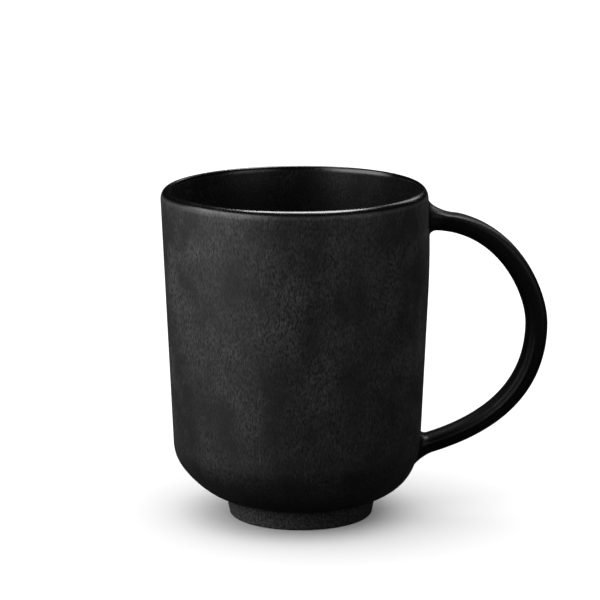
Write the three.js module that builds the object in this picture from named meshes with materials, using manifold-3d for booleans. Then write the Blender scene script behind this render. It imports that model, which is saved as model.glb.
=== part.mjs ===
// Ceramic mug: a tall straight-sided cup on a turned foot ring, with one round loop handle.
// The handle's two ends are luted to the wall with smoothed collars of slip.
// Millimetres, +Z up. The origin is the middle of the foot ring's underside, and the handle is at +X.

import * as THREE from "three";
import { mergeVertices } from "three/addons/utils/BufferGeometryUtils.js";
import Module from "manifold-3d";

const wasm = await Module();
wasm.setup();

// Cup
const HEIGHT = 103.2; // table to lip
const RIM_RADIUS = 42.0; // outside of the lip
const LIP_THICKNESS = 2.9; // the lip is a full round of this thickness
const BOWL_RADIUS = 38.6; // outside, where the straight wall turns into the bowl
const BOWL_TOP = 23.0; // height of that turn
const BOWL_UPPER_PULL = [38.3, 16.0]; // Bezier pulls of the bowl's curve, as radius and height
const BOWL_LOWER_PULL = [31.6, 7.7];
const INNER_BOWL_RADIUS = 35.2; // inside, at the foot of the straight wall
const INNER_BOWL_TOP = 27.0;
const INNER_BOWL_UPPER_PULL = [34.8, 15.6];
const INNER_BOWL_LOWER_PULL = [28.2, 10.6];
const FLOOR_LEVEL = 10.6; // inside of the floor
const FLOOR_RADIUS = 14.0; // flat middle of the floor

// Foot ring
const FOOT_HEIGHT = 6.3;
const FOOT_TOP_RADIUS = 23.5;
const FOOT_BOTTOM_RADIUS = 22.4;
const FOOT_BORE_RADIUS = 18.4; // inside of the ring, at the table
const FOOT_BORE_TOP_RADIUS = 17.2; // inside of the ring, at the floor of the cup
const FOOT_EDGE = 0.9; // rounding of the ring's two lower edges

// Drying and firing leave the cup a little off its foot, its lip a little out of level, and its
// wall drawn in a little above the handle.
const LEAN = 1.17; // sideways, towards -X
const LEAN_START = 9.5; // heights between which the lean comes in
const LEAN_END = 20.0;
const LIP_TIP = 0.0056; // slope of the lip, higher at the handle
const DRAW_IN = 1.85; // at the lip, on the handle's side
const DRAW_IN_START = 70.0; // height from which the wall draws in

// Handle: the line through the middle of its section, as two Bezier curves in the XZ plane
const UPPER_ROOT = [38.0, 92.8];
const UPPER_ROOT_PULL = [62.1, 94.7];
const CREST_UPPER_PULL = [73.1, 71.6];
const CREST = [73.1, 60.5];
const CREST_LOWER_PULL = [73.1, 40.0];
const LOWER_ROOT_PULL = [59.4, 27.9];
const LOWER_ROOT = [37.5, 21.65];
const HANDLE_WIDTH = 8.0; // along Y
const CREST_THICKNESS = 6.8;
const ROOT_THICKNESS = 5.95;
const SECTION_POWER = 4.5; // 2 would be an ellipse, and a high power a sharp rectangle

// Luted joints: how far each fillet reaches across the wall and along the handle
const JOINT_LENGTH = 9.6; // from the wall to the handle's cut end, along its middle line
const UPPER_FILLETS = {
  onWall: { outer: 3.8, inner: 1.5, side: 2.6 },
  onHandle: { outer: 9.0, inner: 1.5, side: 4.5 },
};
const LOWER_FILLETS = {
  onWall: { outer: 3.4, inner: 1.3, side: 2.6 },
  onHandle: { outer: 4.5, inner: 1.3, side: 4.0 },
};
const ROUND_PULL = 0.55; // Bezier pull, as a share of the radius, that draws a quarter circle
const JOINT_DEPTH = 1.0; // how far the trimmed end starts inside the wall
const CLEARANCE = 0.3; // left between clay pieces where the slip is
const MERGE_DISTANCE = 1e-4; // vertices nearer than this are one

// Facets
const CUP_SIDES = 64;
const HANDLE_SIDES = 20;
const HANDLE_RINGS = 40;
const JOINT_RINGS = 7; // one inside the wall, the fillet's, and one at the handle
const WALL_SEARCH_SHARE = 0.25; // each root's wall is found within this share of the handle
const WALL_SEARCH_STEPS = 400;
const BOWL_STEPS = 9;
const WALL_STEPS = 7;
const LIP_STEPS = 6;

const glaze = { color: 0x1d1d1e, roughness: 0.45, metalness: 0.0 };
const bareClay = { color: 0x242322, roughness: 0.8, metalness: 0.0 };

const smoothstep = (t) => THREE.MathUtils.smoothstep(t, 0, 1);

function bezierPoints(start, startPull, endPull, end, steps) {
  const corners = [start, startPull, endPull, end].map(([x, y]) => new THREE.Vector2(x, y));
  return new THREE.CubicBezierCurve(...corners).getPoints(steps);
}

// Points of a straight stretch of wall, without its start.
function straight(start, end) {
  return Array.from({ length: WALL_STEPS }, (_, i) => start.clone().lerp(end, (i + 1) / WALL_STEPS));
}

// Outside of the cup from the foot ring's edge to the start of the lip, grown by a margin.
function outerProfile(margin) {
  const bowl = bezierPoints(
    [FOOT_TOP_RADIUS, FOOT_HEIGHT],
    BOWL_LOWER_PULL,
    BOWL_UPPER_PULL,
    [BOWL_RADIUS, BOWL_TOP],
    BOWL_STEPS,
  );
  const lipStart = new THREE.Vector2(RIM_RADIUS, HEIGHT - LIP_THICKNESS / 2);
  const points = [...bowl, ...straight(bowl[bowl.length - 1], lipStart)];
  return points.map((p) => new THREE.Vector2(p.x + margin, p.y));
}

function lipProfile() {
  const radius = LIP_THICKNESS / 2;
  const points = [];
  for (let step = 1; step <= LIP_STEPS; step += 1) {
    const angle = (Math.PI * step) / LIP_STEPS;
    const across = RIM_RADIUS - radius + radius * Math.cos(angle);
    points.push(new THREE.Vector2(across, HEIGHT - radius + radius * Math.sin(angle)));
  }
  return points;
}

function innerProfile() {
  const bowl = bezierPoints(
    [INNER_BOWL_RADIUS, INNER_BOWL_TOP],
    INNER_BOWL_UPPER_PULL,
    INNER_BOWL_LOWER_PULL,
    [FLOOR_RADIUS, FLOOR_LEVEL],
    BOWL_STEPS,
  );
  const lipEnd = new THREE.Vector2(RIM_RADIUS - LIP_THICKNESS, HEIGHT - LIP_THICKNESS / 2);
  return [...straight(lipEnd, bowl[0]), ...bowl.slice(1), new THREE.Vector2(0, FLOOR_LEVEL)];
}

// A profile of (radius, height) points turned about the Z axis.
function turned(profile, sides) {
  const geometry = new THREE.LatheGeometry(profile, sides);
  geometry.rotateX(Math.PI / 2);
  return geometry;
}

function leanAt(z) {
  return LEAN * THREE.MathUtils.smoothstep(z, LEAN_START, LEAN_END);
}

// How far the wall is drawn in at a height, at a distance from the axis towards the handle.
function drawnInAt(z, x) {
  const climb = Math.max(z - DRAW_IN_START, 0) / (HEIGHT - DRAW_IN_START);
  const facing = Math.max(x, 0) / RIM_RADIUS;
  return DRAW_IN * climb ** 2 * facing ** 2;
}

function settle(geometry) {
  const position = geometry.attributes.position;
  for (let i = 0; i < position.count; i += 1) {
    const x = position.getX(i);
    const z = position.getZ(i);
    const height = Math.max(z - FOOT_HEIGHT, 0) / (HEIGHT - FOOT_HEIGHT);
    position.setX(i, x - leanAt(z) - drawnInAt(z, x));
    position.setZ(i, z + LIP_TIP * x * height ** 2);
  }
  return geometry;
}

function cupBody() {
  const underside = [new THREE.Vector2(0, FOOT_HEIGHT)];
  return settle(turned([...underside, ...outerProfile(0), ...lipProfile(), ...innerProfile()], CUP_SIDES));
}

function footRing() {
  const corners = [
    [FOOT_BORE_TOP_RADIUS, FOOT_HEIGHT],
    [FOOT_BORE_RADIUS, FOOT_EDGE],
    [FOOT_BORE_RADIUS + FOOT_EDGE, 0],
    [FOOT_BOTTOM_RADIUS - FOOT_EDGE, 0],
    [FOOT_BOTTOM_RADIUS, FOOT_EDGE],
    [FOOT_TOP_RADIUS, FOOT_HEIGHT],
    [FOOT_BORE_TOP_RADIUS, FOOT_HEIGHT],
  ];
  return turned(corners.map(([r, z]) => new THREE.Vector2(r, z)), CUP_SIDES);
}

function handlePath() {
  const inPlane = ([x, z]) => new THREE.Vector3(x, 0, z);
  const path = new THREE.CurvePath();
  const upper = [UPPER_ROOT, UPPER_ROOT_PULL, CREST_UPPER_PULL, CREST];
  const lower = [CREST, CREST_LOWER_PULL, LOWER_ROOT_PULL, LOWER_ROOT];
  [upper, lower].forEach((corners) => path.add(new THREE.CubicBezierCurve3(...corners.map(inPlane))));
  return path;
}

const path = handlePath();
const pathLength = path.getLength();

function handleThickness(share) {
  const toCrest = smoothstep(1 - Math.abs(2 * share - 1));
  return THREE.MathUtils.lerp(ROOT_THICKNESS, CREST_THICKNESS, toCrest);
}

// Direction of a point of the section, as its shares of the half thickness and the half width.
function sectionDirection(x, z) {
  const reach = Math.hypot(x, z);
  if (reach === 0) {
    return { outward: 0, sideways: 0 };
  }
  const bulge = (value) => Math.sign(value) * Math.abs(value / reach) ** (2 / SECTION_POWER) * reach;
  return { outward: bulge(x), sideways: bulge(z) };
}

function outwardAt(share) {
  const tangent = path.getTangentAt(share);
  return new THREE.Vector3(-tangent.z, 0, tangent.x);
}

function handlePoint(share, direction) {
  const point = path.getPointAt(share);
  point.addScaledVector(outwardAt(share), (direction.outward * handleThickness(share)) / 2);
  point.y = (direction.sideways * HANDLE_WIDTH) / 2;
  return point;
}

// Gives each vertex of a closed upright cylinder a new place, from its share of the height and its
// direction from the middle.
function bentCylinder(rings, placeAt) {
  const geometry = new THREE.CylinderGeometry(1, 1, 1, HANDLE_SIDES, rings);
  const position = geometry.attributes.position;
  const vertex = new THREE.Vector3();
  for (let i = 0; i < position.count; i += 1) {
    vertex.fromBufferAttribute(position, i);
    const place = placeAt(vertex.y + 0.5, sectionDirection(vertex.x, vertex.z));
    position.setXYZ(i, place.x, place.y, place.z);
  }
  return geometry;
}

function toSolid(geometry) {
  const bare = geometry.clone();
  bare.deleteAttribute("normal");
  bare.deleteAttribute("uv");
  const merged = mergeVertices(bare, MERGE_DISTANCE);
  const vertProperties = new Float32Array(merged.attributes.position.array);
  const triVerts = new Uint32Array(merged.index.array);
  const mesh = new wasm.Mesh({ numProp: 3, vertProperties, triVerts });
  mesh.merge();
  return new wasm.Manifold(mesh);
}

function toGeometry(solid) {
  const { vertProperties, triVerts } = solid.getMesh();
  const geometry = new THREE.BufferGeometry();
  geometry.setAttribute("position", new THREE.BufferAttribute(vertProperties, 3));
  geometry.setIndex(new THREE.BufferAttribute(triVerts, 1));
  geometry.computeVertexNormals();
  return geometry;
}

// The cup as a plug without its hollow, grown by the clearance, to trim what meets the wall.
function wallCutter() {
  const outside = outerProfile(CLEARANCE);
  const top = new THREE.Vector2(0, HEIGHT);
  return toSolid(settle(turned([new THREE.Vector2(0, FOOT_HEIGHT), ...outside, top], CUP_SIDES)));
}

// Moves a point level, straight from the cup's axis, on to the outside of the cup.
function ontoWall(point) {
  const profile = outerProfile(0);
  const above = profile.findIndex((corner) => corner.y > point.z);
  const [low, high] = [profile[above - 1], profile[above]];
  const radius = THREE.MathUtils.mapLinear(point.z, low.y, high.y, low.x, high.x);
  const axis = new THREE.Vector3(-leanAt(point.z), 0, point.z);
  const level = point.clone().sub(axis).setLength(radius);
  level.x -= drawnInAt(point.z, level.x);
  return level.add(axis);
}

// Share of the path where the handle's surface, in one direction, leaves the wall near a root.
function wallShare(root, direction) {
  const towardsCrest = root === 0 ? 1 : -1;
  for (let step = 1; step < WALL_SEARCH_STEPS; step += 1) {
    const share = root + (towardsCrest * WALL_SEARCH_SHARE * step) / WALL_SEARCH_STEPS;
    const point = handlePoint(share, direction);
    if (point.x > ontoWall(point).x) {
      return share;
    }
  }
  return root;
}

// How far a fillet reaches in one direction round the handle's section.
function filletReach(reaches, direction) {
  const along = Math.abs(direction.outward);
  const across = Math.abs(direction.sideways);
  const facing = direction.outward > 0 ? reaches.outer : reaches.inner;
  const radius = along + across > 0 ? (facing * along + reaches.side * across) / (along + across) : 0;
  return radius * Math.min(Math.hypot(along, across), 1);
}

// A collar from inside the wall, along a rounded fillet, to the handle's cut end.
function jointCollar(root, endShare, fillets) {
  const towardsCrest = root === 0 ? 1 : -1;
  const filletRings = JOINT_RINGS - 2;
  const placeAt = (height, direction) => {
    const ring = Math.round((root === 0 ? height : 1 - height) * JOINT_RINGS);
    if (ring === JOINT_RINGS) {
      return handlePoint(endShare, direction);
    }
    const wallAt = wallShare(root, direction);
    const atWall = handlePoint(wallAt, direction);
    const spread = outwardAt(wallAt).multiplyScalar(direction.outward);
    spread.y = direction.sideways;
    const wallReach = filletReach(fillets.onWall, direction);
    const onWall = ontoWall(atWall.clone().addScaledVector(spread.normalize(), wallReach));
    if (ring === 0) {
      return onWall.add(new THREE.Vector3(-JOINT_DEPTH, 0, 0));
    }
    const handleReach = filletReach(fillets.onHandle, direction);
    const onHandle = handlePoint(wallAt + (towardsCrest * handleReach) / pathLength, direction);
    const curve = new THREE.CubicBezierCurve3(
      onWall,
      onWall.clone().lerp(atWall, ROUND_PULL),
      onHandle.clone().lerp(atWall, ROUND_PULL),
      onHandle,
    );
    return curve.getPoint((ring - 1) / filletRings);
  };
  return toGeometry(toSolid(bentCylinder(JOINT_RINGS, placeAt)).subtract(wallCutter()));
}

// The two cut ends, where the collars stop.
const middle = { outward: 0, sideways: 0 };
const upperCut = wallShare(0, middle) + JOINT_LENGTH / pathLength;
const lowerCut = wallShare(1, middle) - JOINT_LENGTH / pathLength;

function handle() {
  const from = upperCut + CLEARANCE / pathLength;
  const to = lowerCut - CLEARANCE / pathLength;
  return bentCylinder(HANDLE_RINGS, (height, direction) => {
    return handlePoint(THREE.MathUtils.lerp(from, to, height), direction);
  });
}

const mug = new THREE.Group();

function addPiece(name, geometry, finish) {
  const mesh = new THREE.Mesh(geometry, new THREE.MeshStandardMaterial(finish));
  mesh.name = name;
  mug.add(mesh);
}

addPiece("cup_body", cupBody(), glaze);
addPiece("foot_ring", footRing(), bareClay);
addPiece("handle", handle(), glaze);
addPiece("upper_handle_joint", jointCollar(0, upperCut, UPPER_FILLETS), glaze);
addPiece("lower_handle_joint", jointCollar(1, lowerCut, LOWER_FILLETS), glaze);

export default mug;
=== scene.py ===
"""Looks of the ceramic mug: a satin black glaze on the cup, handle and luted joints, and a dry foot ring.

Everything is in metres, in the frame of the CAD model: +Z up, the handle towards +X, and the origin
in the middle of the foot ring's underside.
"""

import math

import bpy
import numpy as np
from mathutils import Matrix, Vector


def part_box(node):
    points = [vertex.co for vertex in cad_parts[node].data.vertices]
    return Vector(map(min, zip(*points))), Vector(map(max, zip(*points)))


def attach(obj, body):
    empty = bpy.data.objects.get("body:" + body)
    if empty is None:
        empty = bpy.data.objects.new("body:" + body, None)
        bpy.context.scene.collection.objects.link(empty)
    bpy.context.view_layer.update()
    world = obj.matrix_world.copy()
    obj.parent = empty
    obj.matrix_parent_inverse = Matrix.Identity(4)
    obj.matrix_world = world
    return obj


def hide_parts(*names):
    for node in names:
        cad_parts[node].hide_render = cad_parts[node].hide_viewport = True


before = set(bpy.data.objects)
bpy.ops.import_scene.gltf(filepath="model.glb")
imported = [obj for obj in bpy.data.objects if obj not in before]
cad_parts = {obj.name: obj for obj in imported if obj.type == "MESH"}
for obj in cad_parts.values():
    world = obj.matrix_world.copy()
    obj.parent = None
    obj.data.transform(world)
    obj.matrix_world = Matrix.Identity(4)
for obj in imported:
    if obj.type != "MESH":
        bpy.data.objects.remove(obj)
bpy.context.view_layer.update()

MM = 0.001

cup_low, cup_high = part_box("cup_body")
foot_low, foot_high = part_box("foot_ring")
handle_low, handle_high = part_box("handle")

# Cup
RIM_RADIUS = (cup_high.y - cup_low.y) / 2
LEAN = -cup_low.x - RIM_RADIUS
LEAN_START = 9.5 * MM  # heights between which the lean comes in
LEAN_END = 20.0 * MM
LIP_TIP = 0.0056  # slope of the lip, higher at the handle
DRAW_IN = 1.85 * MM  # at the lip, on the handle's side
DRAW_IN_START = 70.0 * MM
LIP_THICKNESS = 2.9 * MM
LIP_SHOULDER = 2.9 * MM  # height over which the outside of the lip rounds over
LIP_INNER_DROP = 2.0 * MM  # the same on the inside
LIP_CREST = 2.1 * MM  # from the outside of the lip in to its crest
FOOT_HEIGHT = cup_low.z
HEIGHT = cup_high.z - LIP_TIP * (RIM_RADIUS - LIP_THICKNESS / 2)
BOWL_RADIUS = 38.6 * MM
BOWL_TOP = 23.0 * MM
BOWL_UPPER_PULL = (38.3 * MM, 16.0 * MM)
BOWL_LOWER_PULL = (31.6 * MM, 7.7 * MM)
FLOOR_LEVEL = 10.6 * MM
FLOOR_RADIUS = 14.0 * MM
INNER_BOWL_RADIUS = 35.2 * MM
INNER_BOWL_TOP = 27.0 * MM
INNER_UPPER_PULL = (34.8 * MM, 15.6 * MM)
INNER_LOWER_PULL = (28.2 * MM, FLOOR_LEVEL)

# Foot ring
FOOT_TOP_RADIUS = foot_high.y
FOOT_BOTTOM_RADIUS = 22.4 * MM
FOOT_BORE_RADIUS = 18.4 * MM
FOOT_BORE_TOP_RADIUS = 17.2 * MM
FOOT_EDGE = 0.8 * MM

# Handle
CREST_THICKNESS = 6.8 * MM
ROOT_THICKNESS = 5.95 * MM
HANDLE_WIDTH = handle_high.y - handle_low.y
CREST_X = handle_high.x - CREST_THICKNESS / 2
CREST_Z = 60.5 * MM
UPPER_HANDLE = ((38.0 * MM, 92.8 * MM), (62.1 * MM, 94.7 * MM), (CREST_X, 71.6 * MM), (CREST_X, CREST_Z))
LOWER_HANDLE = ((CREST_X, CREST_Z), (CREST_X, 40.0 * MM), (59.4 * MM, 27.9 * MM), (37.5 * MM, 21.65 * MM))
OUTER_POWER = 4.0  # superellipse power of the section: the outer corners are tighter
INNER_POWER = 2.4
RIDGE_HEIGHT = 0.4 * MM  # a low bead on each side of the handle's lower half
RIDGE_WIDTH = 0.4 * MM
RIDGE_OFFSET = -0.3 * MM  # from the middle of the side, towards the finger gap
RIDGE_START = 0.47  # share of the handle's length from the upper root, where the bead begins to rise
RIDGE_RISE = 0.1  # share over which it rises

# Luted joints
UPPER_ROOT = 0  # the share of the handle's length at each root
LOWER_ROOT = 1
JOINT_LENGTH = 9.6 * MM
UPPER_ON_WALL = {"outer": 3.8 * MM, "inner": 1.5 * MM, "side": 2.6 * MM}
UPPER_ON_HANDLE = {"outer": 11.5 * MM, "inner": 1.5 * MM, "side": 4.5 * MM}
LOWER_ON_WALL = {"outer": 3.9 * MM, "inner": 1.3 * MM, "side": 2.6 * MM}
LOWER_ON_HANDLE = {"outer": 6.0 * MM, "inner": 1.3 * MM, "side": 4.0 * MM}
ROUND_PULL = 0.55  # how far the fillet's curve is pulled towards the corner that it fills
TUCK_REACH = 0.8 * MM  # past the fillet's edge, where the joint dips under the wall's surface
TUCK_DEPTH = 0.35 * MM
ROOT_DEPTH = 1.3 * MM  # how far the joint's hidden end sits inside the wall

# Mesh fineness
SHARP_ANGLE = math.radians(35)
CUP_SIDES = 288
BOWL_POINTS = 40
WALL_POINTS = 40
SHOULDER_POINTS = 18
INNER_LIP_POINTS = 12
INNER_WALL_POINTS = 30
INNER_BOWL_POINTS = 26
FOOT_EDGE_POINTS = 9
FOOT_WALL_POINTS = 12
HANDLE_SIDES = 160
HANDLE_RINGS = 240
FILLET_RINGS = 24
COLLAR_RINGS = 14
PATH_POINTS = 1500
SEARCH_SHARE = 0.2  # of the handle's length, in which the wall is looked for from each root
WALL_SEARCH_STEPS = 600
MIDDLE_SEARCH_STEPS = 2000

# Glaze
CLOUDS = {"stretch": (1, 1, 0.8), "scale": 75, "detail": 3, "roughness": 0.55}
STREAKS = {"stretch": (1, 1, 0.36), "scale": 2300, "detail": 3, "roughness": 0.7}
CLOUD_RANGE = (0.36, 0.64)  # levels of the noise that count as none and full
STREAK_RANGE = (0.38, 0.64)
GLAZE_BLACK = (0.001, 0.001, 0.001)
CUP_PALE = (0.09, 0.09, 0.09)
# Painted shade: the handle's pale colour is a tenth of the cup's, a darker copy of the same glaze.
HANDLE_SHADED_PALE = (0.009, 0.009, 0.009)
CLOUDLESS_PALE = 0.2  # share of the pale colour that stays where there is no cloud
CUP_SATIN = 0.5  # roughness
HANDLE_SATIN = 0.4
CLOUD_SHEEN = 0.05  # how far the clouds and the streaks move the roughness
STREAK_SHEEN = 0.06
CUP_SPECULAR = 0.5
HANDLE_SPECULAR = 0.2
GLAZE_BUMP = {"strength": 0.8, "distance": 0.05 * MM}

# Glossier glaze with painted shade, on the lip and inside the cup
LIP_AND_INSIDE_GLOSS = 0.31  # taken off the roughness
PAINTED_SHADE_PALE = 0.04  # share of the pale colour that stays under the painted shade on the lip and inside
INSIDE_SHARE = 0.85  # how strong the gloss and painted shade are inside, where the lip is 1
INSIDE_EDGE = 0.4 * MM  # to each side of the wall's middle, where the inside's gloss and painted shade fade out
WALL_MIDDLE_BEND = 18.0 * MM
WALL_MIDDLE_RADII = (28.5 * MM, 36.2 * MM, 39.5 * MM)  # at the floor, at the bend and at the lip
FLOOR_EDGE = (FLOOR_LEVEL - 1.0 * MM, FLOOR_LEVEL - 0.5 * MM)  # heights over which the inside begins
LIP_EDGE = (HEIGHT - 1.9 * MM, HEIGHT - 1.1 * MM)  # the same for the lip
FOOT_SHADE_HEIGHTS = (8.0 * MM, 45.0 * MM)  # heights over which the painted shade towards the foot fades out
# Painted shade: share of the pale colour left at the foot
FOOT_SHADE_PALE = 0.3

# Bare clay
SAND = {"stretch": (1, 1, 1), "scale": 1800, "detail": 3, "roughness": 0.7}
WEAR = {"stretch": (1, 1, 1), "scale": 160, "detail": 3, "roughness": 0.5}
SAND_RANGE = (0.42, 0.62)
WEAR_RANGE = (0.3, 0.7)
CLAY_DARK = (0.012, 0.012, 0.012)
CLAY_PALE = (0.09, 0.089, 0.087)
CLAY_ROUGHNESS = (0.62, 0.8)
CLAY_SPECULAR = 0.3
CLAY_BUMP = {"strength": 0.5, "distance": 0.1 * MM}

# Studio
CAMERA_TARGET = (-0.25 * MM, 0.0, 67.8 * MM)
CAMERA_DISTANCE = 920.8 * MM
CAMERA_ELEVATION = math.radians(12.21)
CAMERA_LENS = 178.25  # on the default sensor, 36 mm wide
CAMERA_REACH = 20.0  # how far the camera sees
FLOOR_HALF = 4.0
FLOOR_SEEN = 0.8  # how pale the floor is to the camera, and in the glaze's reflections
FLOOR_MIRRORED = 0.03
LIGHTS_AIM = Vector((0, 0, 0.055))
FLOOR_LIGHT = {"azimuth": 190, "elevation": 75, "spread": math.radians(150), "strength": 5.25}
SOFTBOXES = {  # azimuth, elevation, distance, width, height and radiance
    "side_softbox": (203, 24, 0.42, 0.5, 0.3, 4.4),
    "top_softbox": (66, 78, 0.8, 0.65, 0.4, 16.0),
    "fill_softbox": (315, 16, 0.45, 0.3, 0.2, 1.2),
    "rim_softbox": (54, 34, 0.8, 0.2, 0.36, 2.6),
}


# ---------------------------------------------------------------- shapes


def smoothstep(t):
    t = np.clip(t, 0.0, 1.0)
    return t * t * (3 - 2 * t)


def bezier(corners, count):
    """Points of a cubic Bezier curve, as (count, 2)."""
    a, b, c, d = (np.array(corner, dtype=float) for corner in corners)
    t = np.linspace(0, 1, count)[:, None]
    return (1 - t) ** 3 * a + 3 * (1 - t) ** 2 * t * b + 3 * (1 - t) * t**2 * c + t**3 * d


def straight(start, end, count):
    """Points of a straight line as (count - 1, 2), without its start."""
    share = np.linspace(0, 1, count)[1:, None]
    return np.array(start) * (1 - share) + np.array(end) * share


def quarter_ellipse(centre, across, up, start, end, count):
    """Points of an arc between two angles in degrees, as (count, 2)."""
    angles = np.radians(np.linspace(start, end, count))
    return np.stack([centre[0] + across * np.cos(angles), centre[1] + up * np.sin(angles)], axis=1)


def make_mesh(name, points, faces):
    mesh = bpy.data.meshes.new(name)
    mesh.from_pydata(points.reshape(-1, 3).tolist(), [], faces)
    mesh.validate()
    mesh.polygons.foreach_set("use_smooth", [True] * len(mesh.polygons))
    mesh.set_sharp_from_angle(angle=SHARP_ANGLE)
    piece = bpy.data.objects.new(name, mesh)
    bpy.context.scene.collection.objects.link(piece)
    return piece


def ring_faces(rings, sides, closed_rings=False):
    """Quads between neighbouring rings of points, each ring closing on itself."""
    faces = []
    for ring in range(rings if closed_rings else rings - 1):
        lower = ring * sides
        upper = ((ring + 1) % rings) * sides
        for side in range(sides):
            after = (side + 1) % sides
            faces.append((lower + side, lower + after, upper + after, upper + side))
    return faces


def capped_tube(name, rings):
    """A closed piece through rings of points, each end closed by a flat cap."""
    count, sides = rings.shape[:2]
    faces = ring_faces(count, sides)
    faces.append(tuple(reversed(range(sides))))
    faces.append(tuple((count - 1) * sides + side for side in range(sides)))
    return make_mesh(name, rings, faces)


# ---------------------------------------------------------------- cup


def outer_profile():
    """Outside of the cup as (radius, height), from the foot ring's edge up to the lip's crest."""
    bowl_start = (FOOT_TOP_RADIUS, FOOT_HEIGHT)
    bowl_end = (BOWL_RADIUS, BOWL_TOP)
    bowl = bezier((bowl_start, BOWL_LOWER_PULL, BOWL_UPPER_PULL, bowl_end), BOWL_POINTS)
    wall = straight(bowl_end, (RIM_RADIUS, HEIGHT - LIP_SHOULDER), WALL_POINTS)
    lip_centre = (RIM_RADIUS - LIP_CREST, HEIGHT - LIP_SHOULDER)
    shoulder = quarter_ellipse(lip_centre, LIP_CREST, LIP_SHOULDER, 0, 90, SHOULDER_POINTS)
    return np.vstack([bowl, wall, shoulder[1:]])


def inner_profile():
    """Inside of the cup, from the lip's crest down to the flat middle of the floor."""
    lip_centre = (RIM_RADIUS - LIP_CREST, HEIGHT - LIP_INNER_DROP)
    lip_width = LIP_THICKNESS - LIP_CREST
    lip = quarter_ellipse(lip_centre, lip_width, LIP_INNER_DROP, 90, 180, INNER_LIP_POINTS)
    wall_start = (RIM_RADIUS - LIP_THICKNESS, HEIGHT - LIP_INNER_DROP)
    bowl_start = (INNER_BOWL_RADIUS, INNER_BOWL_TOP)
    wall = straight(wall_start, bowl_start, INNER_WALL_POINTS)
    bowl_corners = (bowl_start, INNER_UPPER_PULL, INNER_LOWER_PULL, (FLOOR_RADIUS, FLOOR_LEVEL))
    bowl = bezier(bowl_corners, INNER_BOWL_POINTS)
    return np.vstack([lip[1:], wall, bowl[1:], [[FLOOR_RADIUS / 2, FLOOR_LEVEL]]])


def lean_at(z):
    return LEAN * smoothstep((z - LEAN_START) / (LEAN_END - LEAN_START))


def drawn_in_at(z, x):
    """How far the wall is drawn in above the handle, at a distance from the axis towards it."""
    climb = np.clip(z - DRAW_IN_START, 0, None) / (HEIGHT - DRAW_IN_START)
    facing = np.clip(x, 0, None) / RIM_RADIUS
    return DRAW_IN * climb**2 * facing**2


def settle(points):
    """The cup stands off its foot's centre, its lip is out of level and its wall is drawn in."""
    x, z = points[..., 0], points[..., 2]
    climb = np.clip(z - FOOT_HEIGHT, 0, None) / (HEIGHT - FOOT_HEIGHT)
    moved = points.copy()
    moved[..., 0] -= lean_at(z) + drawn_in_at(z, x)
    moved[..., 2] += LIP_TIP * x * climb**2
    return moved


def turned(profile, sides):
    """Rings of points round the axis, one for each point of a profile, as (rings, sides, 3)."""
    angles = np.linspace(0, 2 * math.pi, sides, endpoint=False)
    radius, height = profile[:, 0:1], profile[:, 1:2]
    x, y = radius * np.cos(angles), radius * np.sin(angles)
    return np.stack([x, y, np.broadcast_to(height, x.shape)], axis=2)


def make_cup():
    underside = [[FOOT_TOP_RADIUS / 2, FOOT_HEIGHT]]
    profile = np.vstack([underside, outer_profile(), inner_profile()])
    return capped_tube("glazed_cup", settle(turned(profile, CUP_SIDES)))


# ---------------------------------------------------------------- foot ring


def make_foot():
    outer_centre = (FOOT_BOTTOM_RADIUS - FOOT_EDGE, FOOT_EDGE)
    bore_centre = (FOOT_BORE_RADIUS + FOOT_EDGE, FOOT_EDGE)
    outer_edge = quarter_ellipse(outer_centre, FOOT_EDGE, FOOT_EDGE, -90, 0, FOOT_EDGE_POINTS)
    bore_edge = quarter_ellipse(bore_centre, FOOT_EDGE, FOOT_EDGE, 180, 270, FOOT_EDGE_POINTS)
    bore_top = (FOOT_BORE_TOP_RADIUS, FOOT_HEIGHT)
    outer_wall = straight(outer_edge[-1], (FOOT_TOP_RADIUS, FOOT_HEIGHT), FOOT_WALL_POINTS)
    bore_wall = straight(bore_top, bore_edge[0], FOOT_WALL_POINTS)
    profile = np.vstack([outer_edge, outer_wall, [bore_top], bore_wall[:-1], bore_edge])
    faces = ring_faces(len(profile), CUP_SIDES, closed_rings=True)
    return make_mesh("dry_foot_ring", turned(profile, CUP_SIDES), faces)


# ---------------------------------------------------------------- handle


class HandlePath:
    """The line through the middle of the handle, measured by its share from the upper root."""

    def __init__(self):
        upper = bezier(UPPER_HANDLE, PATH_POINTS)
        lower = bezier(LOWER_HANDLE, PATH_POINTS)
        self.points = np.vstack([upper, lower[1:]])
        steps = np.hypot(*np.diff(self.points, axis=0).T)
        along = np.concatenate([[0], np.cumsum(steps)])
        self.length = along[-1]
        self.shares = along / self.length
        tangents = np.gradient(self.points, along, axis=0)
        self.tangents = tangents / np.hypot(*tangents.T)[:, None]

    def look_up(self, share, table):
        return [np.interp(share, self.shares, table[:, axis]) for axis in (0, 1)]

    def centre(self, share):
        x, z = self.look_up(share, self.points)
        return np.stack([x, np.zeros_like(x), z], axis=-1)

    def outward(self, share):
        x, z = self.look_up(share, self.tangents)
        length = np.hypot(x, z)
        return np.stack([-z / length, np.zeros_like(x), x / length], axis=-1)


PATH = HandlePath()
DIRECTIONS = np.linspace(0, 2 * math.pi, HANDLE_SIDES, endpoint=False)
SIDEWAYS = np.array([0.0, 1.0, 0.0])


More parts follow.
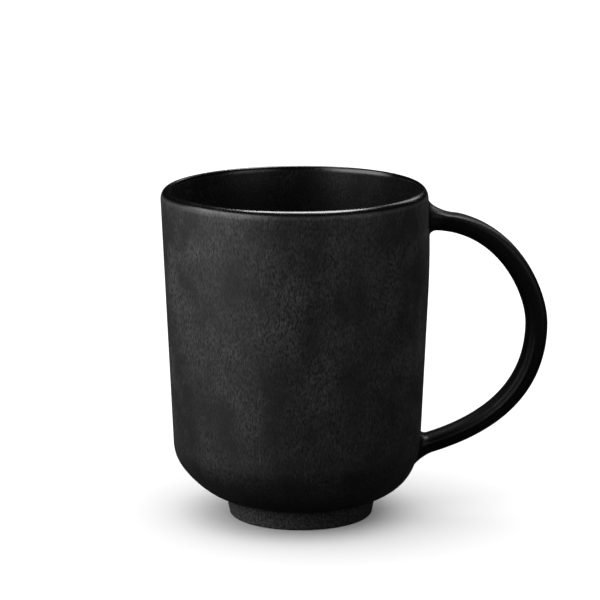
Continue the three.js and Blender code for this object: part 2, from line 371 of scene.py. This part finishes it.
def handle_surface(share, direction):
    """Points on the handle, at shares of its path and directions round its section."""
    share, direction = np.broadcast_arrays(share, direction)
    to_crest = smoothstep(1 - np.abs(2 * share - 1))
    half_thickness = (ROOT_THICKNESS + (CREST_THICKNESS - ROOT_THICKNESS) * to_crest) / 2
    half_width = HANDLE_WIDTH / 2
    across, aside = np.cos(direction), np.sin(direction)
    power = np.where(across > 0, OUTER_POWER, INNER_POWER)
    reach = (np.abs(across / half_thickness) ** power + np.abs(aside / half_width) ** power) ** (-1 / power)
    ridge_share = smoothstep((share - RIDGE_START) / RIDGE_RISE)
    ridge = RIDGE_HEIGHT * ridge_share * np.exp(-(((reach * across - RIDGE_OFFSET) / RIDGE_WIDTH) ** 2))
    out, side = reach * across, (reach + ridge) * aside
    return PATH.centre(share) + out[..., None] * PATH.outward(share) + side[..., None] * SIDEWAYS


def onto_wall(points):
    """Moves points level, straight from the cup's axis, on to the outside of the cup."""
    profile = outer_profile()
    radius = np.interp(points[..., 2], profile[:, 1], profile[:, 0])
    axis = np.stack([-lean_at(points[..., 2]), np.zeros_like(radius)], axis=-1)
    level = points[..., :2] - axis
    level *= (radius / np.hypot(level[..., 0], level[..., 1]))[..., None]
    level[..., 0] -= drawn_in_at(points[..., 2], level[..., 0])
    return np.concatenate([level + axis, points[..., 2:]], axis=-1)


def shares_from(root, steps):
    """Shares of the path from a root towards the crest."""
    search = np.linspace(0, SEARCH_SHARE, steps)
    return search if root == UPPER_ROOT else 1 - search


def wall_shares(root, direction):
    """Share of the path where the handle's surface leaves the wall near a root, per direction."""
    share = shares_from(root, WALL_SEARCH_STEPS)
    surface = handle_surface(share[:, None], direction[None, :])
    outside = surface[..., 0] - onto_wall(surface)[..., 0]
    first = np.argmax(outside > 0, axis=0)
    column = np.arange(len(direction))
    before, after = outside[first - 1, column], outside[first, column]
    between = before / (before - after)
    return share[first - 1] + between * (share[first] - share[first - 1])


def middle_wall_share(root):
    """Share of the path where its own line leaves the wall near a root."""
    share = shares_from(root, MIDDLE_SEARCH_STEPS)
    centre = PATH.centre(share)
    return share[np.argmax(centre[:, 0] > onto_wall(centre)[:, 0])]


UPPER_CUT = middle_wall_share(UPPER_ROOT) + JOINT_LENGTH / PATH.length
LOWER_CUT = middle_wall_share(LOWER_ROOT) - JOINT_LENGTH / PATH.length


def make_handle():
    shares = np.linspace(UPPER_CUT, LOWER_CUT, HANDLE_RINGS)[:, None]
    return capped_tube("glazed_handle", handle_surface(shares, DIRECTIONS[None, :]))


def fillet_reach(reaches):
    """How far a fillet reaches in each direction round the handle's section."""
    across, aside = np.cos(DIRECTIONS), np.sin(DIRECTIONS)
    facing = np.where(across > 0, reaches["outer"], reaches["inner"])
    return facing * across**2 + reaches["side"] * aside**2


def fillet_rings(on_wall, corner, on_handle):
    """Rings that curve from the wall on to the handle, and so fill the corner between them."""
    t = np.linspace(0, 1, FILLET_RINGS)[:, None, None]
    wall_pull = on_wall + (corner - on_wall) * ROUND_PULL
    handle_pull = on_handle + (corner - on_handle) * ROUND_PULL
    rings = (1 - t) ** 3 * on_wall + 3 * (1 - t) ** 2 * t * wall_pull
    return rings + 3 * (1 - t) * t**2 * handle_pull + t**3 * on_handle


def make_joint(name, root, cut, wall_reaches, handle_reaches):
    """A smoothed collar: a fillet from the wall on to the handle, its end a little sunk in the wall."""
    towards_crest = 1 if root == UPPER_ROOT else -1
    wall_at = wall_shares(root, DIRECTIONS)
    corner = handle_surface(wall_at, DIRECTIONS)
    spread = np.cos(DIRECTIONS)[:, None] * PATH.outward(wall_at) + np.sin(DIRECTIONS)[:, None] * SIDEWAYS
    on_wall = onto_wall(corner + spread * fillet_reach(wall_reaches)[:, None])
    under_wall = onto_wall(on_wall + spread * TUCK_REACH) - np.array([TUCK_DEPTH, 0, 0])
    deep = onto_wall(corner) - np.array([ROOT_DEPTH, 0, 0])
    fillet_end = wall_at + towards_crest * fillet_reach(handle_reaches) / PATH.length
    fillet = fillet_rings(on_wall, corner, handle_surface(fillet_end, DIRECTIONS))
    rest = np.linspace(0, 1, COLLAR_RINGS)[1:, None]
    collar = handle_surface(fillet_end * (1 - rest) + cut * rest, DIRECTIONS[None, :])
    rings = np.concatenate([[deep, under_wall], fillet, collar])
    return capped_tube(name, rings[::towards_crest])


# ---------------------------------------------------------------- materials


def new_material(name):
    material = bpy.data.materials.new(name)
    material.use_nodes = True
    return material, material.node_tree.nodes, material.node_tree.links


class Coat:
    """A material of one shader, with what varies over the surface worked out in the mug's own frame."""

    def __init__(self, name, specular):
        self.material, self.nodes, self.links = new_material(name)
        self.shader = self.nodes["Principled BSDF"]
        self.shader.inputs["Specular IOR Level"].default_value = specular
        self.place = self.nodes.new("ShaderNodeTexCoord").outputs["Object"]

    def noise(self, stretch, scale, detail, roughness):
        """Noise, drawn out along an axis by a stretch below 1."""
        mapping = self.nodes.new("ShaderNodeMapping")
        mapping.inputs["Scale"].default_value = stretch
        self.links.new(self.place, mapping.inputs["Vector"])
        texture = self.nodes.new("ShaderNodeTexNoise")
        texture.inputs["Scale"].default_value = scale
        texture.inputs["Detail"].default_value = detail
        texture.inputs["Roughness"].default_value = roughness
        self.links.new(mapping.outputs["Vector"], texture.inputs["Vector"])
        return texture.outputs["Fac"]

    def axes(self):
        separate = self.nodes.new("ShaderNodeSeparateXYZ")
        self.links.new(self.place, separate.inputs["Vector"])
        return separate.outputs["X"], separate.outputs["Y"], separate.outputs["Z"]

    def remap(self, value, source=(0, 1), target=(0, 1)):
        """Takes a value from one range to another, and keeps it within the second."""
        node = self.nodes.new("ShaderNodeMapRange")
        node.inputs["From Min"].default_value, node.inputs["From Max"].default_value = source
        node.inputs["To Min"].default_value, node.inputs["To Max"].default_value = target
        self.links.new(value, node.inputs["Value"])
        return node.outputs["Result"]

    def combine(self, operation, first, second):
        node = self.nodes.new("ShaderNodeMath")
        node.operation = operation
        for socket, value in zip(node.inputs, (first, second)):
            if isinstance(value, (int, float)):
                socket.default_value = value
            else:
                self.links.new(value, socket)
        return node.outputs["Value"]

    def colour(self, share, first, second):
        node = self.nodes.new("ShaderNodeMix")
        node.data_type = "RGBA"
        self.links.new(share, node.inputs["Factor"])
        node.inputs["A"].default_value = (*first, 1)
        node.inputs["B"].default_value = (*second, 1)
        self.links.new(node.outputs["Result"], self.shader.inputs["Base Color"])

    def roughness(self, value):
        self.links.new(value, self.shader.inputs["Roughness"])

    def bump(self, height, strength, distance):
        node = self.nodes.new("ShaderNodeBump")
        node.inputs["Strength"].default_value = strength
        node.inputs["Distance"].default_value = distance
        self.links.new(height, node.inputs["Height"])
        self.links.new(node.outputs["Normal"], self.shader.inputs["Normal"])


def gloss_and_painted_shade_share(coat, x, y, z):
    """Where the glaze is glossier and carries painted shade: 1 on the lip, a little less inside the cup,
    and 0 on the outside.
    """
    floor_radius, bend_radius, lip_radius = WALL_MIDDLE_RADII
    off_axis = coat.combine("ADD", x, LEAN)
    squares = [coat.combine("MULTIPLY", side, side) for side in (off_axis, y)]
    radius = coat.combine("POWER", coat.combine("ADD", *squares), 0.5)
    bowl_middle = coat.remap(z, (FLOOR_LEVEL, WALL_MIDDLE_BEND), (floor_radius, bend_radius))
    wall_flare = coat.remap(z, (WALL_MIDDLE_BEND, HEIGHT), (0, lip_radius - bend_radius))
    depth = coat.combine("SUBTRACT", coat.combine("ADD", bowl_middle, wall_flare), radius)
    inside = coat.remap(depth, (-INSIDE_EDGE, INSIDE_EDGE), (0, INSIDE_SHARE))
    above_floor = coat.remap(z, FLOOR_EDGE)
    lip = coat.remap(z, LIP_EDGE)
    return coat.combine("MAXIMUM", coat.combine("MULTIPLY", inside, above_floor), lip)


def add_gloss_and_painted_shade(coat, pale_share, roughness):
    """The cup's glaze is glossier on the lip and inside, with painted shade there, and painted shade
    darkens it towards the foot.
    """
    x, y, z = coat.axes()
    gloss_and_shade = gloss_and_painted_shade_share(coat, x, y, z)
    # Painted shade: the pale colour is cut down on the lip and inside the cup.
    pale_share = coat.combine("MULTIPLY", pale_share, coat.remap(gloss_and_shade, target=(1, PAINTED_SHADE_PALE)))
    # Painted shade: the pale colour is cut down towards the foot.
    pale_share = coat.combine("MULTIPLY", pale_share, coat.remap(z, FOOT_SHADE_HEIGHTS, (FOOT_SHADE_PALE, 1)))
    gloss = coat.combine("MULTIPLY", gloss_and_shade, LIP_AND_INSIDE_GLOSS)
    return pale_share, coat.combine("SUBTRACT", roughness, gloss)


def make_glaze(name, pale, satin, specular, with_gloss_and_painted_shade):
    """Black glaze: cloudy, with a fine vertical streak in its colour and sheen."""
    coat = Coat(name, specular)
    streaks = coat.noise(**STREAKS)
    cloud_share = coat.remap(coat.noise(**CLOUDS), CLOUD_RANGE)
    streak_share = coat.remap(streaks, STREAK_RANGE)
    cloud_pale = coat.remap(cloud_share, target=(CLOUDLESS_PALE, 1))
    pale_share = coat.combine("MULTIPLY", streak_share, cloud_pale)
    cloud_roughness = coat.remap(cloud_share, target=(satin + CLOUD_SHEEN, satin - CLOUD_SHEEN))
    streak_roughness = coat.remap(streak_share, target=(STREAK_SHEEN, -STREAK_SHEEN))
    roughness = coat.combine("ADD", cloud_roughness, streak_roughness)
    if with_gloss_and_painted_shade:
        pale_share, roughness = add_gloss_and_painted_shade(coat, pale_share, roughness)
    coat.colour(pale_share, GLAZE_BLACK, pale)
    coat.roughness(roughness)
    coat.bump(streaks, **GLAZE_BUMP)
    return coat.material


def make_bare_clay():
    """Dry black clay: matte, with a sandy speckle."""
    coat = Coat("dry_black_clay", CLAY_SPECULAR)
    sand = coat.noise(**SAND)
    coat.colour(coat.remap(sand, SAND_RANGE), CLAY_DARK, CLAY_PALE)
    coat.roughness(coat.remap(coat.noise(**WEAR), WEAR_RANGE, CLAY_ROUGHNESS))
    coat.bump(sand, **CLAY_BUMP)
    return coat.material


# ---------------------------------------------------------------- studio


def make_camera():
    camera = bpy.data.objects.new("camera", bpy.data.cameras.new("camera"))
    camera.data.lens = CAMERA_LENS
    camera.data.clip_end = CAMERA_REACH
    x, y, z = CAMERA_TARGET
    back = CAMERA_DISTANCE * math.cos(CAMERA_ELEVATION)
    camera.location = (x, y - back, z + CAMERA_DISTANCE * math.sin(CAMERA_ELEVATION))
    camera.rotation_euler = (math.pi / 2 - CAMERA_ELEVATION, 0, 0)
    bpy.context.scene.collection.objects.link(camera)
    bpy.context.scene.camera = camera


def towards(azimuth, elevation):
    """A unit vector, from angles in degrees: azimuth from +X towards +Y, elevation from level."""
    azimuth, elevation = math.radians(azimuth), math.radians(elevation)
    level = math.cos(elevation)
    return Vector((level * math.cos(azimuth), level * math.sin(azimuth), math.sin(elevation)))


def restrict_light(light, floor, only_floor):
    """A light shines on the floor alone, or on everything but the floor."""
    receivers = bpy.data.collections.new(light.name + "_receivers")
    receivers.objects.link(floor)
    receivers.collection_objects[0].light_linking.link_state = "INCLUDE" if only_floor else "EXCLUDE"
    light.light_linking.receiver_collection = receivers


def make_light(name, kind, direction, distance=1.0):
    """A light that shines back along a direction, towards the middle of the mug."""
    light = bpy.data.objects.new(name, bpy.data.lights.new(name, kind))
    light.location = LIGHTS_AIM + direction * distance
    light.rotation_mode = "QUATERNION"
    light.rotation_quaternion = direction.to_track_quat("Z", "Y")
    bpy.context.scene.collection.objects.link(light)
    return light


def make_floor_light(floor):
    """The floor's own light, as wide as a sky, so that the mug's shadow on it is soft."""
    light = make_light("floor_light", "SUN", towards(FLOOR_LIGHT["azimuth"], FLOOR_LIGHT["elevation"]))
    light.data.angle = FLOOR_LIGHT["spread"]
    light.data.energy = FLOOR_LIGHT["strength"]
    restrict_light(light, floor, only_floor=True)


def make_softbox(name, azimuth, elevation, distance, width, height, radiance, floor):
    light = make_light(name, "AREA", towards(azimuth, elevation), distance)
    light.data.shape = "RECTANGLE"
    light.data.size = width
    light.data.size_y = height
    light.data.energy = radiance * math.pi * width * height
    restrict_light(light, floor, only_floor=False)


def paper_shader(nodes, paleness):
    shader = nodes.new("ShaderNodeBsdfDiffuse")
    shader.inputs["Color"].default_value = (paleness, paleness, paleness, 1)
    return shader.outputs["BSDF"]


def make_floor():
    """A pale floor. It is dark in the glaze's reflections, so that the mug's lower edge stays black."""
    near, far = -FLOOR_HALF, FLOOR_HALF
    corners = np.array([[near, near, 0], [far, near, 0], [far, far, 0], [near, far, 0]])
    floor = make_mesh("floor", corners, [(0, 1, 2, 3)])
    material, nodes, links = new_material("floor_paper")
    nodes.remove(nodes["Principled BSDF"])
    mix = nodes.new("ShaderNodeMixShader")
    links.new(nodes.new("ShaderNodeLightPath").outputs["Is Camera Ray"], mix.inputs["Fac"])
    links.new(paper_shader(nodes, FLOOR_MIRRORED), mix.inputs[1])
    links.new(paper_shader(nodes, FLOOR_SEEN), mix.inputs[2])
    links.new(mix.outputs["Shader"], nodes["Material Output"].inputs["Surface"])
    floor.data.materials.append(material)
    return floor


def make_world():
    """A background that is white to the camera and gives no light."""
    world = bpy.data.worlds.new("studio")
    world.use_nodes = True
    nodes, links = world.node_tree.nodes, world.node_tree.links
    ray = nodes.new("ShaderNodeLightPath")
    links.new(ray.outputs["Is Camera Ray"], nodes["Background"].inputs["Strength"])
    nodes["Background"].inputs["Color"].default_value = (1, 1, 1, 1)
    bpy.context.scene.world = world
    bpy.context.scene.view_settings.view_transform = "Standard"


def make_studio():
    make_camera()
    make_world()
    floor = make_floor()
    make_floor_light(floor)
    for name, sizes in SOFTBOXES.items():
        make_softbox(name, *sizes, floor)


# ---------------------------------------------------------------- assembly


def dress(piece, node, material):
    piece.data.materials.append(material)
    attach(piece, "root")
    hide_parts(node)


make_studio()
cup_glaze = make_glaze("satin_black_glaze", CUP_PALE, CUP_SATIN, CUP_SPECULAR, with_gloss_and_painted_shade=True)
dress(make_cup(), "cup_body", cup_glaze)
# The handle and its joints get a darker copy of the cup's glaze, as painted shade.
shaded_handle_glaze = make_glaze(
    "shaded_handle_black_glaze", HANDLE_SHADED_PALE, HANDLE_SATIN, HANDLE_SPECULAR, with_gloss_and_painted_shade=False
)
dress(make_handle(), "handle", shaded_handle_glaze)
upper_joint = make_joint("upper_luted_joint", UPPER_ROOT, UPPER_CUT, UPPER_ON_WALL, UPPER_ON_HANDLE)
lower_joint = make_joint("lower_luted_joint", LOWER_ROOT, LOWER_CUT, LOWER_ON_WALL, LOWER_ON_HANDLE)
dress(upper_joint, "upper_handle_joint", shaded_handle_glaze)
dress(lower_joint, "lower_handle_joint", shaded_handle_glaze)
dress(make_foot(), "foot_ring", make_bare_clay())
